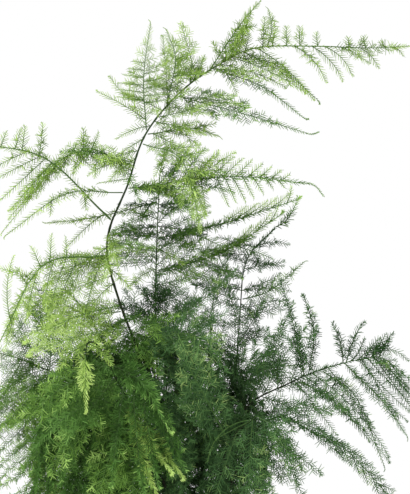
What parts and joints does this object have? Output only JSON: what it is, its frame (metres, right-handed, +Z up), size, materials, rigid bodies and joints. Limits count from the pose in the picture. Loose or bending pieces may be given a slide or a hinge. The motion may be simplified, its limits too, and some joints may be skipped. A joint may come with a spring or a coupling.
{
  "type": "potted asparagus fern",
  "caption": "Lace fern with wiry arching canes and feathery sprays of fine needles, planted in a plain round clay pot that stands on its flat base.",
  "frame": {"origin": "middle of the pot's flat underside", "axes": "+Z up along the pot's axis; +X to the viewer's right and -Y towards the viewer of the plant's front"},
  "size_m": [0.4072, 0.2788, 0.6196],
  "materials": {
    "terracotta": "matte",
    "potting_soil": "matte",
    "cane_bark": "satin",
    "young_sprays": "matte",
    "mature_sprays": "matte",
    "deep_sprays": "matte"
  },
  "bodies": {
    "root": {"pot": "terracotta", "soil": "potting_soil", "tall_cane": "cane_bark", "straight_cane": "cane_bark", "right_upper_cane": "cane_bark", "right_cane": "cane_bark", "right_low_cane": "cane_bark", "left_cane": "cane_bark", "front_cane": "cane_bark", "front_right_cane": "cane_bark", "back_cane": "cane_bark", "back_left_cane": "cane_bark", "tall_leader": "young_sprays", "crest_left_spray": "young_sprays", "crest_middle_spray": "young_sprays", "crest_plume": "young_sprays", "crest_right_spray": "young_sprays", "arch_low_spray": "mature_sprays", "arch_middle_spray": "mature_sprays", "arch_high_spray": "mature_sprays", "shoulder_right_spray": "young_sprays", "shoulder_hanging_spray": "young_sprays", "shoulder_left_spray": "young_sprays", "middle_left_spray": "young_sprays", "broad_left_spray": "young_sprays", "long_right_spray": "mature_sprays", "low_left_spray": "young_sprays", "under_left_spray": "young_sprays", "under_right_spray": "deep_sprays", "straight_left_spray": "young_sprays", "straight_high_right_spray": "mature_sprays", "straight_low_right_spray": "mature_sprays", "straight_inner_spray": "deep_sprays", "right_upper_leader": "mature_sprays", "right_upper_side_spray": "mature_sprays", "right_upper_inner_spray": "deep_sprays", "right_leader": "deep_sprays", "right_first_hanging_spray": "deep_sprays", "right_second_hanging_spray": "deep_sprays", "right_third_hanging_spray": "deep_sprays", "right_upright_spray": "deep_sprays", "right_inner_spray": "deep_sprays", "right_low_leader": "deep_sprays", "right_low_under_spray": "deep_sprays", "left_leader": "young_sprays", "left_rising_spray": "young_sprays", "left_hanging_spray": "mature_sprays", "left_low_spray": "mature_sprays", "front_leader": "young_sprays", "front_left_spray": "mature_sprays", "front_bright_spray": "young_sprays", "front_bottom_spray": "mature_sprays", "front_right_leader": "deep_sprays", "front_right_inner_spray": "deep_sprays", "front_right_low_spray": "deep_sprays", "back_leader": "deep_sprays", "back_right_spray": "deep_sprays", "back_low_spray": "deep_sprays", "back_left_leader": "mature_sprays", "back_left_side_spray": "mature_sprays"}
  },
  "joints": []
}
